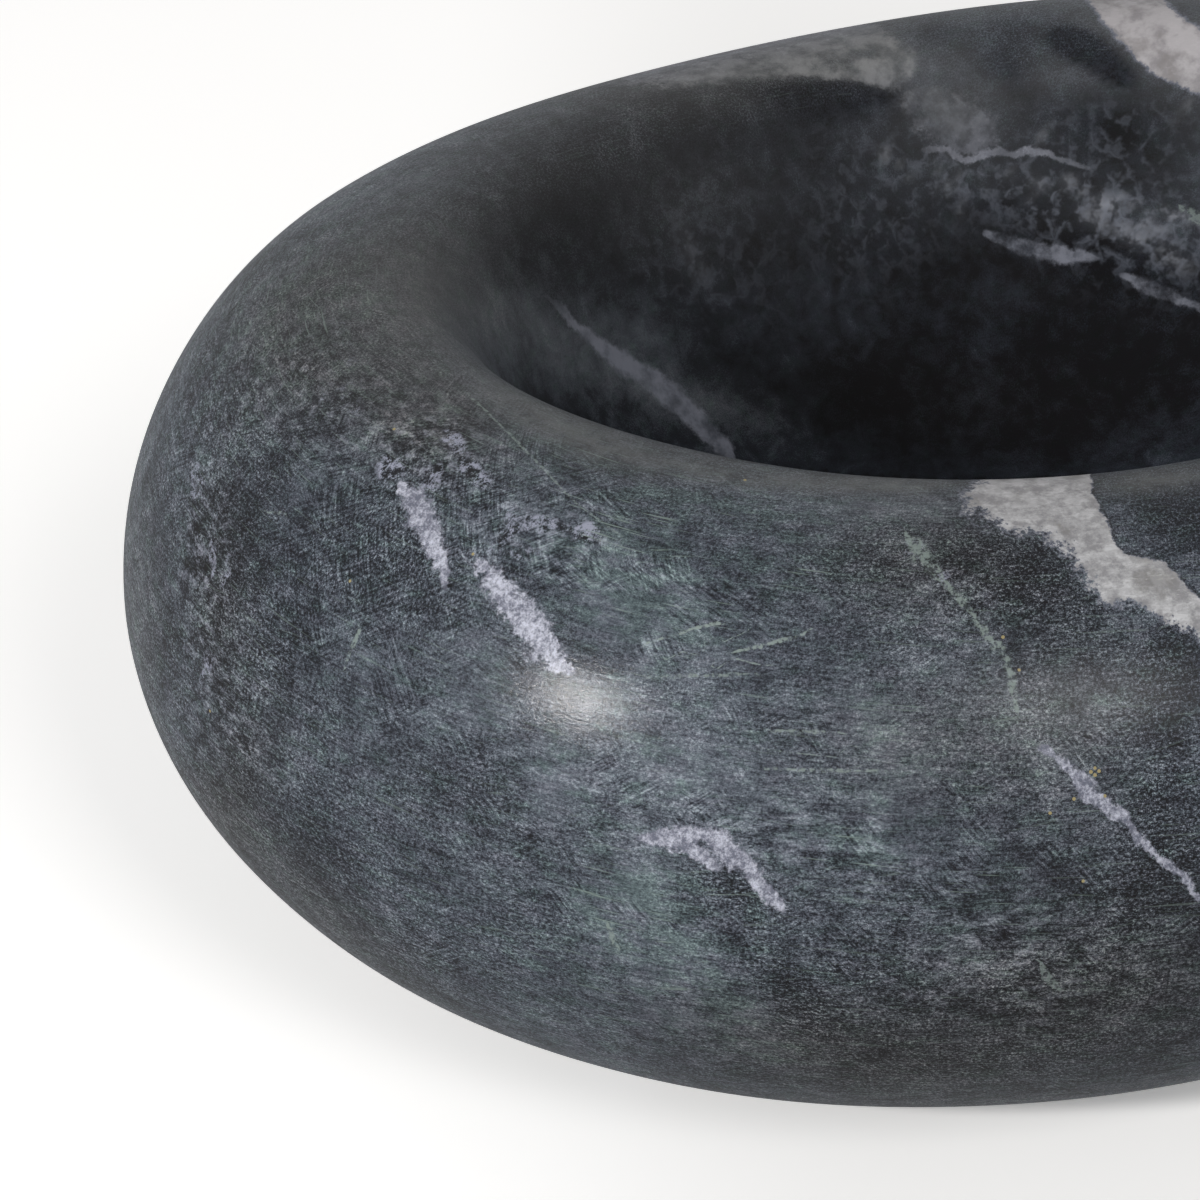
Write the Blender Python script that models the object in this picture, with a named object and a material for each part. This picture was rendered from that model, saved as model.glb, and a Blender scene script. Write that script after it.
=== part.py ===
"""Hand-shaped marble bowl: a thick oval ring of stone round a dished hollow, standing on felt feet."""

from math import cos, radians, sin, tau

import bmesh
import bpy
from mathutils import Vector
from mathutils.geometry import interpolate_bezier

# All lengths are in metres. X is the long axis of the oval and Z is up.

# Plan of the stone: the mean radius of its outer edge, and how much longer or shorter it gets
MEAN_RADIUS = 0.115
OVAL_SWELL = 0.009

# Heights above the flat ground underside
BELLY_HEIGHT = 0.039
RIM_HEIGHT = 0.083
FLOOR_HEIGHT = 0.028

# The rim is shaped by hand: its crest rises at both long ends and leans up to one side
RIM_END_RISE = 0.002
RIM_LEAN = 0.002
RIM_LEAN_HEADING = radians(-31)

# Section of the wall, from the outer edge inwards
BASE_TUCK = 0.036
CREST_INSET = 0.035
LIP_REACH = 0.022
LIP_DROP = 0.028
WALL_SLOPE = radians(59)

# How full each curve of the section is, as shares of the stretch that it spans
TUCK_SHARE = 0.49
SHOULDER_SHARE = 0.54
LIP_SHARE = 0.33
DISH_SHARE = 0.45

# Felt feet, stuck under the stone near the edge of its flat underside
FOOT_HEADINGS = [radians(45), radians(135), radians(225), radians(315)]
FOOT_DIAMETER = 0.020
FOOT_THICKNESS = 0.002
FOOT_EDGE_ROUND = 0.0004
FOOT_MARGIN = 0.006
FOOT_SEAT_GAP = 0.0003

# Facets: round the oval, along each curve of the section, and round a foot
STONE_SIDES = 96
TUCK_STEPS = 9
SHOULDER_STEPS = 10
LIP_STEPS = 8
DISH_STEPS = 8
FOOT_SIDES = 40
FOOT_ROUND_STEPS = 2

OUTWARD = Vector((1, 0))
UPWARD = Vector((0, 1))

# Finishes: base colour in linear light, and roughness
MARBLE_COLOUR, MARBLE_ROUGHNESS = (0.036, 0.043, 0.048), 0.45
FELT_COLOUR, FELT_ROUGHNESS = (0.015, 0.015, 0.016), 0.95


def clear_scene():
    for thing in list(bpy.data.objects):
        bpy.data.objects.remove(thing, do_unlink=True)


def finish(name, colour, roughness):
    material = bpy.data.materials.new(name)
    material.use_nodes = True
    shader = material.node_tree.nodes["Principled BSDF"]
    shader.inputs["Base Color"].default_value = (*colour, 1)
    shader.inputs["Roughness"].default_value = roughness
    shader.inputs["Metallic"].default_value = 0
    return material


def outer_radius(heading):
    return MEAN_RADIUS + OVAL_SWELL * cos(2 * heading)


def rim_height(heading):
    return RIM_HEIGHT + RIM_END_RISE * cos(2 * heading) + RIM_LEAN * cos(heading - RIM_LEAN_HEADING)


def curve(start, start_handle, end_handle, end, steps):
    """Points of one curved stretch of the section, up to but not at its end."""
    return interpolate_bezier(start, start_handle, end_handle, end, steps + 1)[:-1]


def wall_section(heading):
    """Radius and height of the stone's skin at one heading: from the underside out round the belly,
    over the crest of the rim, down the lip and across the dish to just short of its centre."""
    edge = outer_radius(heading)
    crest_height = rim_height(heading)
    base = OUTWARD * (edge - BASE_TUCK)
    belly = OUTWARD * edge + UPWARD * BELLY_HEIGHT
    crest = OUTWARD * (edge - CREST_INSET) + UPWARD * crest_height
    wall = crest - OUTWARD * LIP_REACH - UPWARD * LIP_DROP
    centre = UPWARD * FLOOR_HEIGHT

    down_wall = -OUTWARD * cos(WALL_SLOPE) - UPWARD * sin(WALL_SLOPE)
    lip_pull = LIP_SHARE * (wall - crest).length
    dish_pull = DISH_SHARE * wall.x

    tuck = curve(
        base,
        base + OUTWARD * TUCK_SHARE * BASE_TUCK,
        belly - UPWARD * TUCK_SHARE * BELLY_HEIGHT,
        belly,
        TUCK_STEPS,
    )
    shoulder = curve(
        belly,
        belly + UPWARD * SHOULDER_SHARE * (crest_height - BELLY_HEIGHT),
        crest + OUTWARD * SHOULDER_SHARE * CREST_INSET,
        crest,
        SHOULDER_STEPS,
    )
    lip = curve(crest, crest - OUTWARD * lip_pull, wall - down_wall * lip_pull, wall, LIP_STEPS)
    dish = curve(wall, wall + down_wall * dish_pull, centre + OUTWARD * dish_pull, centre, DISH_STEPS)
    return tuck + shoulder + lip + dish


def ring_of_edges(shape, points):
    """A closed loop of edges through the points."""
    corners = [shape.verts.new(point) for point in points]
    return [shape.edges.new((corners[i - 1], corner)) for i, corner in enumerate(corners)]


def make_stone(marble):
    """The bowl itself, one piece of stone: its wall section lofted round the oval."""
    headings = [tau * side / STONE_SIDES for side in range(STONE_SIDES)]
    sections = [wall_section(heading) for heading in headings]
    shape = bmesh.new()
    rings = []
    for level in zip(*sections):
        points = [(at.x * cos(heading), at.x * sin(heading), at.y) for at, heading in zip(level, headings)]
        rings.append(ring_of_edges(shape, points))
    for lower, upper in zip(rings, rings[1:]):
        bmesh.ops.bridge_loops(shape, edges=lower + upper)

    # The flat underside is one face, and the dish closes on a point at its centre
    bmesh.ops.contextual_create(shape, geom=rings[0])
    centre = shape.verts.new((0, 0, FLOOR_HEIGHT))
    for edge in rings[-1]:
        shape.faces.new((*edge.verts, centre))
    bmesh.ops.recalc_face_normals(shape, faces=shape.faces)

    mesh = bpy.data.meshes.new("marble_bowl")
    shape.to_mesh(mesh)
    shape.free()
    mesh.shade_smooth()
    mesh.materials.append(marble)
    stone = bpy.data.objects.new("marble_bowl", mesh)
    stone.location.z = FOOT_THICKNESS + FOOT_SEAT_GAP
    bpy.context.collection.objects.link(stone)
    return stone


def foot_mesh(felt):
    """A die-cut felt disc standing on the origin, its edges a little rounded."""
    shape = bmesh.new()
    bmesh.ops.create_cone(
        shape,
        cap_ends=True,
        segments=FOOT_SIDES,
        radius1=FOOT_DIAMETER / 2,
        radius2=FOOT_DIAMETER / 2,
        depth=FOOT_THICKNESS,
    )
    bmesh.ops.translate(shape, verts=shape.verts, vec=(0, 0, FOOT_THICKNESS / 2))
    mesh = bpy.data.meshes.new("felt_foot")
    shape.to_mesh(mesh)
    shape.free()
    mesh.shade_smooth()
    mesh.materials.append(felt)
    return mesh


def add_feet(stone, felt):
    """Felt discs under the stone, each as near as its margin lets it be to the edge of the underside."""
    mesh = foot_mesh(felt)
    for number, heading in enumerate(FOOT_HEADINGS, start=1):
        reach = outer_radius(heading) - BASE_TUCK - FOOT_MARGIN - FOOT_DIAMETER / 2
        foot = bpy.data.objects.new(f"felt_foot_{number}", mesh)
        foot.parent = stone
        foot.location = (reach * cos(heading), reach * sin(heading), -FOOT_SEAT_GAP - FOOT_THICKNESS)
        rounding = foot.modifiers.new("edge_round", "BEVEL")
        rounding.limit_method = "ANGLE"
        rounding.width = FOOT_EDGE_ROUND
        rounding.segments = FOOT_ROUND_STEPS
        bpy.context.collection.objects.link(foot)


clear_scene()
bowl = make_stone(finish("marble", MARBLE_COLOUR, MARBLE_ROUGHNESS))
add_feet(bowl, finish("felt", FELT_COLOUR, FELT_ROUGHNESS))
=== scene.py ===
"""Looks of the marble bowl: a finely meshed stone with its veins, felt feet, a pale floor and soft light."""

import bmesh
import bpy
import numpy as np
from mathutils import Matrix, Vector, noise
from mathutils.bvhtree import BVHTree


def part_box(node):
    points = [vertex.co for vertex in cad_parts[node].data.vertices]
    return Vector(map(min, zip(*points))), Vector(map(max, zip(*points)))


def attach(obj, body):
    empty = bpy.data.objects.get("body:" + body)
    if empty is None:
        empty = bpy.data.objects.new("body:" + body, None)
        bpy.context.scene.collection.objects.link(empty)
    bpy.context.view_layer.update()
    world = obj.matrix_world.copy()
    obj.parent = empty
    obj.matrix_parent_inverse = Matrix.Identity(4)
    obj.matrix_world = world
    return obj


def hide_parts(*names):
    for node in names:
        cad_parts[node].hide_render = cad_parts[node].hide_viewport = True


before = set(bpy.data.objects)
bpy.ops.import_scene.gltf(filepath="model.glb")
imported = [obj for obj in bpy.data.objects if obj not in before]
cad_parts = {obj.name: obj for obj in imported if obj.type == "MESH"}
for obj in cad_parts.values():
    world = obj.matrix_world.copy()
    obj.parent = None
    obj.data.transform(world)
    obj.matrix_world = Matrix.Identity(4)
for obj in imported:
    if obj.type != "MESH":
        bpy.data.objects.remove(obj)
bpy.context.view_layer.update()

# Lengths are in metres unless a name says otherwise. Headings are in degrees from X, the oval's long axis

# The camera, as it stood in the photograph. The centre is the middle of the bowl
IMAGE_PIXELS = 1200
FOCAL_PIXELS = 4074
CENTRE_PIXEL = (1012, 493.5)
CENTRE_DEPTH = 0.559
VIEW_HEADING = 59
VIEW_DOWN = 28.8
SENSOR_WIDTH_MM = 36

# Sizes of the stone, as the solid has them
MEAN_RADIUS, OVAL_SWELL = 0.115, 0.009
BELLY_HEIGHT, RIM_HEIGHT, FLOOR_HEIGHT = 0.039, 0.083, 0.028
RIM_END_RISE, RIM_LEAN, RIM_LEAN_HEADING = 0.002, 0.002, -31
BASE_TUCK, CREST_INSET, LIP_REACH, LIP_DROP, WALL_SLOPE = 0.036, 0.035, 0.022, 0.028, 59
TUCK_SHARE, SHOULDER_SHARE, LIP_SHARE, DISH_SHARE = 0.49, 0.54, 0.33, 0.45

# The mesh: sides round the oval, and steps along each curve of the wall's section
SIDES = 460
UNDERSIDE_STEPS, TUCK_STEPS, SHOULDER_STEPS, LIP_STEPS, DISH_STEPS = 12, 42, 58, 36, 54
WAVE_LENGTH, WAVE_DEPTH = 0.034, 0.0003
BAKE_GAP_MM = 3

# The felt feet: rings across the face and round the edge, the rounding as a share of the thickness, and the
# wear as its size and as shares of the width and of the thickness
FOOT_SIDES, FOOT_RINGS, FOOT_ROUND_SHARE = 120, 9, 0.3
FELT_WEAR_LENGTH, FELT_EDGE_WEAR, FELT_FACE_WEAR = 0.0016, 0.018, 0.05

# The floor as it is seen: how light, on which side of the bowl a painted shadow makes it dimmer, and where it
# runs into the white of the room
FLOOR_SIZE, FLOOR_GAIN, FLOOR_LIFT = 10, 1.25, 0.315
SHADOW_TOWARD, SHADOW_RAMP, SHADOW_FADE, SHADOW_SHARE = (0.857, -0.515, 0), (-0.096, -0.016), (0.2, 0.5), 0.155
FLOOR_FADE = (0.6, 1.5)

# The light: the room's strength at the horizon and from some height on, and the lamps, each with direction,
# distance, side of its square, power and colour
HORIZON_STRENGTH, ZENITH_STRENGTH, ZENITH_HEIGHT = 0.6, 0.14, 0.62
LAMPS = {
    "low_lamp": ((-0.838, -0.185, 0.41), 2.7, 0.26, 45.0, (1.0, 0.98, 0.955)),
    "front_lamp": ((-0.054, -0.715, 0.612), 3.3, 1.05, 22.5, (1.0, 0.98, 0.95)),
}

stone_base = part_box("marble_bowl")[0][2]


# The stone's surface

def outer_radius(heading):
    return MEAN_RADIUS + OVAL_SWELL * np.cos(2 * np.radians(heading))


def rim_height(heading):
    lean = RIM_LEAN * np.cos(np.radians(heading - RIM_LEAN_HEADING))
    return RIM_HEIGHT + RIM_END_RISE * np.cos(2 * np.radians(heading)) + lean


def bezier(start, pull, push, end, t):
    return (1 - t) ** 3 * start + 3 * (1 - t) ** 2 * t * pull + 3 * (1 - t) * t**2 * push + t**3 * end


def corner(across, up):
    return np.stack([across, up], -1)


def skin(heading, level):
    """The point of the stone's surface at a heading and a level. Levels run 0 to 1 from the edge of the
    underside to the belly, to 2 at the crest, to 3 on the inner wall and to 4 at the centre of the dish;
    below 0 they run back to the centre of the underside at -1."""
    heading, level = np.broadcast_arrays(np.asarray(heading, float), np.asarray(level, float))
    edge, rim = outer_radius(heading), rim_height(heading)
    zero = np.zeros_like(edge)
    flat = corner(zero, zero)
    base = corner(edge - BASE_TUCK, zero)
    belly = corner(edge, zero + BELLY_HEIGHT)
    crest = corner(edge - CREST_INSET, rim)
    wall = corner(edge - CREST_INSET - LIP_REACH, rim - LIP_DROP)
    centre = corner(zero, zero + FLOOR_HEIGHT)
    out, up = np.array([1.0, 0.0]), np.array([0.0, 1.0])
    slope = np.radians(WALL_SLOPE)
    down = np.array([-np.cos(slope), -np.sin(slope)])
    lip_pull = LIP_SHARE * np.hypot(LIP_REACH, LIP_DROP)
    dish_pull = DISH_SHARE * wall[..., :1]
    rise = (SHOULDER_SHARE * (rim - BELLY_HEIGHT))[..., None]
    stretches = [
        (flat, flat + (base - flat) / 3, base - (base - flat) / 3, base),
        (base, base + out * TUCK_SHARE * BASE_TUCK, belly - up * TUCK_SHARE * BELLY_HEIGHT, belly),
        (belly, belly + up * rise, crest + out * SHOULDER_SHARE * CREST_INSET, crest),
        (crest, crest - out * lip_pull, wall - down * lip_pull, wall),
        (wall, wall + down * dish_pull, centre + out * dish_pull, centre),
    ]
    index = np.clip(np.floor(level).astype(int), -1, 3)
    share = (level - index)[..., None]
    section = np.zeros(heading.shape + (2,))
    for number, stretch in enumerate(stretches, start=-1):
        section = np.where((index == number)[..., None], bezier(*stretch, share), section)
    across, height = section[..., 0], stone_base + section[..., 1]
    turn = np.radians(heading)
    return np.stack([across * np.cos(turn), across * np.sin(turn), height], -1)


def skin_normal(heading, level):
    """Unit normals, out of the stone, from small steps along the surface."""
    step = 1e-3
    around = skin(heading + step, level) - skin(heading - step, level)
    lower, upper = np.clip(level - step, -1, 4), np.clip(level + step, -1, 4)
    along = skin(heading, upper) - skin(heading, lower)
    normal = np.cross(around, along)
    return normal / np.maximum(np.linalg.norm(normal, axis=-1, keepdims=True), 1e-12)


# The camera

def make_camera():
    heading, down = np.radians(VIEW_HEADING), np.radians(VIEW_DOWN)
    forward = Vector((np.cos(heading) * np.cos(down), np.sin(heading) * np.cos(down), -np.sin(down)))
    right = Vector((np.sin(heading), -np.cos(heading), 0))
    up = right.cross(forward)
    aside = (CENTRE_PIXEL[0] - IMAGE_PIXELS / 2) / FOCAL_PIXELS
    above = (IMAGE_PIXELS / 2 - CENTRE_PIXEL[1]) / FOCAL_PIXELS
    centre = Vector((0, 0, stone_base + RIM_HEIGHT / 2))
    data = bpy.data.cameras.new("camera")
    data.sensor_width = SENSOR_WIDTH_MM
    data.lens = FOCAL_PIXELS / IMAGE_PIXELS * SENSOR_WIDTH_MM
    camera = bpy.data.objects.new("camera", data)
    camera.matrix_world = Matrix((right, up, -forward)).transposed().to_4x4()
    camera.location = centre - CENTRE_DEPTH * (forward + aside * right + above * up)
    bpy.context.collection.objects.link(camera)
    bpy.context.scene.camera = camera
    return camera


def sight_line(camera, pixel):
    """The direction from the camera through a pixel of the photograph."""
    half = IMAGE_PIXELS / 2
    ray = Vector(((pixel[0] - half) / FOCAL_PIXELS, (half - pixel[1]) / FOCAL_PIXELS, -1))
    return (camera.matrix_world.to_3x3() @ ray).normalized()


# Veins, read from the photograph, in pixels: ((softness left, softness right, strength),
# [(x, y, half width), ...]). Softness runs from 0, a crisp edge, to 1, a feathery one, on the left and right
# side of the vein as it is followed. Strength is how white it is. Veins of one layer lie at least 8 mm apart.
PIXEL_SIZE_MM = 0.137
SEEN_VEINS = {
    "wide": [
        ((0.8, 0.8, 0.66), [(402, 484, 6), (412, 495, 13), (421, 512, 16), (430, 532, 13), (437, 550, 9),
                            (443, 567, 6), (448, 595, 2)]),
        ((0.6, 0.7, 0.62), [(631, 836, 2), (655, 838, 8), (672, 840, 13), (690, 834, 10), (705, 832, 9),
                            (718, 840, 10), (732, 852, 12), (745, 865, 11), (757, 878, 10), (768, 890, 8),
                            (778, 902, 6), (788, 913, 2)]),
        ((0.9, 0.9, 0.42), [(543, 296, 2), (558, 304, 3), (573, 322, 5), (594, 340, 8), (617, 358, 10),
                            (642, 373, 11), (670, 393, 12), (693, 414, 11), (711, 434, 10), (734, 457, 8)]),
        ((0.9, 0.9, 0.46), [(918, 150, 2), (940, 148, 3), (958, 155, 3.5), (970, 161, 4.5), (985, 156, 4.5),
                            (1002, 153, 3), (1015, 155, 3.5), (1032, 151, 5), (1048, 155, 3.5),
                            (1066, 161, 3), (1084, 166, 2.5), (1094, 172, 1)]),
        ((0.9, 0.9, 0.3), [(1118, 274, 2), (1135, 281, 6), (1155, 289, 7), (1178, 299, 6), (1205, 310, 3)]),
    ],
    "narrow": [
        ((0.8, 0.9, 0.8), [(476, 556, 4), (486, 570, 9), (498, 585, 13), (513, 603, 15), (528, 622, 17),
                           (541, 641, 16), (552, 656, 13), (562, 667, 9), (572, 675, 3)]),
        ((0.7, 0.7, 0.55), [(684, 843, 5), (698, 851, 7), (709, 860, 7), (719, 866, 4), (726, 871, 1)]),
        ((0.8, 0.6, 0.58), [(1036, 744, 3), (1046, 750, 6), (1054, 754, 3), (1063, 763, 6), (1079, 779, 8),
                            (1092, 796, 9), (1107, 806, 8), (1121, 815, 7), (1132, 828, 4), (1146, 846, 6),
                            (1160, 859, 4), (1178, 873, 5), (1188, 883, 5), (1199, 898, 4), (1250, 925, 6),
                            (1310, 960, 2)]),
        ((0.9, 0.9, 0.34), [(984, 230, 3), (1000, 238, 6), (1020, 247, 9), (1042, 252, 10), (1066, 255, 8),
                            (1085, 256, 5), (1100, 258, 2)]),
    ],
    "threads": [
        ((0.9, 0.9, 0.4), [(905, 534, 3), (918, 549, 9), (936, 574, 5), (952, 590, 3), (968, 607, 3),
                           (985, 632, 4), (1008, 662, 5), (1015, 700, 3), (1020, 722, 1)]),
        ((0.3, 0.3, 0.32), [(467, 395, 0.8), (488, 413, 1.0), (529, 454, 1.2), (552, 478, 1.0),
                            (575, 502, 0.8), (608, 526, 0.6), (627, 540, 0.5)]),
        ((0.4, 0.4, 0.4), [(360, 629, 1.5), (352, 647, 2), (344, 667, 1)]),
        ((0.3, 0.3, 0.4), [(262, 509, 1), (271, 514, 1), (281, 511, 1), (286, 516, 1)]),
        ((0.5, 0.5, 0.5), [(646, 644, 1), (673, 636, 1.8), (693, 629, 1.4), (724, 622, 1)]),
        ((0.5, 0.5, 0.45), [(722, 655, 1), (762, 646, 1.8), (798, 636, 1.5), (813, 630, 1)]),
        ((0.6, 0.6, 0.36), [(648, 677, 1), (700, 676, 1.6), (760, 674, 1)]),
        ((0.6, 0.6, 0.36), [(764, 730, 1), (800, 731, 1.8), (849, 733, 1)]),
        ((0.6, 0.6, 0.36), [(764, 769, 1), (830, 770, 1.6), (894, 771, 1)]),
        ((0.6, 0.6, 0.3), [(1041, 962, 2), (1047, 975, 4), (1055, 985, 3), (1064, 991, 1)]),
        ((0.7, 0.7, 0.4), [(608, 925, 2), (614, 938, 4), (618, 952, 2)]),
        ((0.9, 0.9, 0.3), [(1180, 206, 4), (1205, 222, 7), (1240, 230, 2)]),
    ],
}
# Broad veins by their outlines: strength, a path down the middle that shows how deep in the picture the vein
# lies, and the corners of the outline as (x, y, softness of the edge)
OUTLINED_VEINS = {
    "wide": [
        (1.0, [(985, 497), (1012, 498), (1040, 500), (1066, 512), (1088, 535), (1102, 562), (1122, 581),
               (1148, 584), (1172, 598), (1200, 617), (1235, 640), (1290, 655), (1340, 690), (1400, 705),
               (1450, 745), (1520, 770)],
         [(966, 503, 0.9), (970, 489, 0.9), (979, 478, 0.8), (990, 466, 0.6), (1090, 462, 0.1),
          (1092, 485, 0.1), (1097, 505, 0.1), (1104, 515, 0.1), (1112, 530, 0.1), (1118, 545, 0.1),
          (1126, 553, 0.1), (1140, 559, 0.1), (1160, 560, 0.1), (1170, 567, 0.1), (1180, 580, 0.1),
          (1193, 590, 0.1), (1201, 600, 0.1), (1235, 612, 0.15), (1290, 634, 0.2), (1340, 664, 0.3),
          (1400, 688, 0.3), (1450, 732, 0.4), (1520, 768, 0.5), (1440, 760, 0.6), (1390, 724, 0.6),
          (1335, 716, 0.7), (1290, 678, 0.7), (1240, 668, 0.7), (1200, 637, 0.7), (1180, 627, 0.6),
          (1165, 622, 0.6), (1150, 611, 0.5), (1135, 603, 0.4), (1120, 600, 0.4), (1110, 608, 0.4),
          (1098, 602, 0.4), (1094, 585, 0.6), (1080, 575, 0.9), (1068, 565, 0.9), (1062, 552, 0.9),
          (1050, 538, 0.7), (1040, 531, 0.5), (1020, 532, 0.6), (1000, 528, 0.7), (985, 521, 0.8)]),
        (0.97, [(1080, -22), (1112, 2), (1150, 25), (1178, 45), (1210, 70), (1260, 95), (1320, 130),
                (1370, 180), (1430, 215)],
         [(1040, -60, 0.5), (1070, -25, 0.4), (1086, 0, 0.4), (1100, 20, 0.4), (1118, 37, 0.4),
          (1131, 50, 0.4), (1142, 66, 0.4), (1160, 78, 0.4), (1180, 86, 0.4), (1202, 98, 0.4),
          (1240, 112, 0.4), (1290, 140, 0.4), (1340, 178, 0.5), (1400, 205, 0.5), (1385, 165, 0.5),
          (1350, 120, 0.4), (1300, 92, 0.4), (1250, 66, 0.4), (1215, 38, 0.4), (1195, 25, 0.4),
          (1176, 14, 0.4), (1160, 0, 0.4), (1140, -25, 0.4), (1100, -60, 0.5)]),
    ],
    "narrow": [
        (0.36, [(640, 84), (680, 76), (730, 66), (780, 58), (830, 54), (880, 60), (905, 72)],
         [(628, 84, 0.9), (660, 88, 0.9), (700, 85, 0.7), (742, 81, 0.5), (790, 78, 0.4), (815, 77, 0.3),
          (850, 82, 0.3), (880, 87, 0.3), (893, 92, 0.5), (905, 86, 0.6), (918, 66, 0.7), (914, 52, 0.8),
          (900, 42, 0.9), (886, 32, 0.9), (876, 20, 0.9), (866, 0, 0.9), (700, 30, 0.9), (640, 55, 0.9),
          (618, 70, 0.9)]),
        (0.3, [(912, 96), (935, 108), (960, 124), (980, 140)],
         [(900, 95, 0.8), (912, 86, 0.7), (935, 86, 0.7), (958, 95, 0.9), (980, 107, 0.9), (1000, 121, 0.9),
          (1007, 133, 0.9), (990, 148, 0.8), (975, 157, 0.5), (962, 157, 0.5), (945, 149, 0.7),
          (925, 138, 0.9), (908, 122, 0.9), (900, 108, 0.9)]),
    ],
}
# The same where the photograph doesn't reach: headings and levels, with half widths in millimetres
UNSEEN_VEINS = {
    "wide": [
        ((0.3, 0.7, 0.95), [(318, 0.62, 0.6), (325, 0.95, 2.2), (334, 1.2, 3.4), (341, 1.55, 2.6),
                            (349, 1.8, 3.2), (353, 2.02, 2.0), (356, 2.22, 0.4)]),
        ((0.5, 0.7, 0.9), [(102, 0.25, 0.4), (96, 0.55, 1.4), (88, 0.8, 2.6), (84, 1.05, 2.0),
                           (74, 1.25, 1.4), (70, 1.4, 0.3)]),
        ((0.5, 0.7, 0.7), [(205, 0.05, 0.4), (212, -0.12, 1.5), (228, -0.3, 2.2), (262, -0.42, 1.8),
                           (300, -0.3, 2.4), (330, -0.1, 1.2), (336, 0.12, 0.4)]),
    ],
    "narrow": [
        ((0.4, 0.6, 0.97), [(24, 0.3, 0.2), (30, 0.55, 1.0), (34, 0.85, 1.7), (41, 1.12, 1.9),
                            (44, 1.36, 2.6), (45, 1.58, 3.2), (45, 1.8, 3.0)]),
        ((0.6, 0.7, 0.97), [(234, 2.2, 3.6), (235, 2.45, 3.4), (237, 2.7, 2.2), (241, 2.95, 1.7),
                            (243, 3.2, 1.0), (243, 3.38, 0.2)]),
        ((0.5, 0.6, 0.6), [(128, 0.5, 0.3), (124, 0.85, 0.9), (117, 1.15, 1.1), (113, 1.5, 0.4)]),
        ((0.6, 0.8, 0.5), [(285, 2.6, 0.3), (292, 3.0, 0.9), (300, 3.25, 1.2), (318, 3.5, 1.0),
                           (345, 3.62, 0.8), (15, 3.66, 0.3)]),
    ],
    "threads": [
        ((0.5, 0.5, 0.45), [(345, 0.7, 0.15), (2, 0.95, 0.5), (16, 1.1, 0.7), (26, 1.35, 0.5),
                            (31, 1.6, 0.15)]),
        ((0.5, 0.5, 0.45), [(300, 1.62, 0.15), (290, 1.3, 0.5), (277, 1.05, 0.6), (268, 0.72, 0.2)]),
        ((0.6, 0.6, 0.4), [(60, 0.6, 0.15), (68, 0.8, 0.4), (77, 1.05, 0.5), (90, 1.42, 0.4),
                           (100, 1.75, 0.1)]),
        ((0.6, 0.6, 0.35), [(60, -0.2, 0.2), (82, -0.45, 0.7), (150, -0.5, 0.6), (178, -0.2, 0.2)]),
    ],
}
OUTLINE_DEPTH_MM = 3   # how far in from its outline a vein still grows fuller
SEEN_STEP_PIXELS, UNSEEN_STEP_MM = 10, 2   # how closely the points of a smoothed path lie
SEEN_SEARCH_PIXELS, UNSEEN_SEARCH_MM = 80, 30   # how far from its path the vertices of a vein are looked for
VEIN_REACH_MM = 26   # how far past the seen surface, over the lip or beyond the frame, a vein is carried
VEIN_MARGIN_MM = 3   # how far outside a vein its width is still stored
FAR_MM = 50   # stored as the distance where no vein is near
END_START_MM, END_TAPER = 12, 0.65   # past the seen surface, where an outlined vein narrows, and how fast
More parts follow.
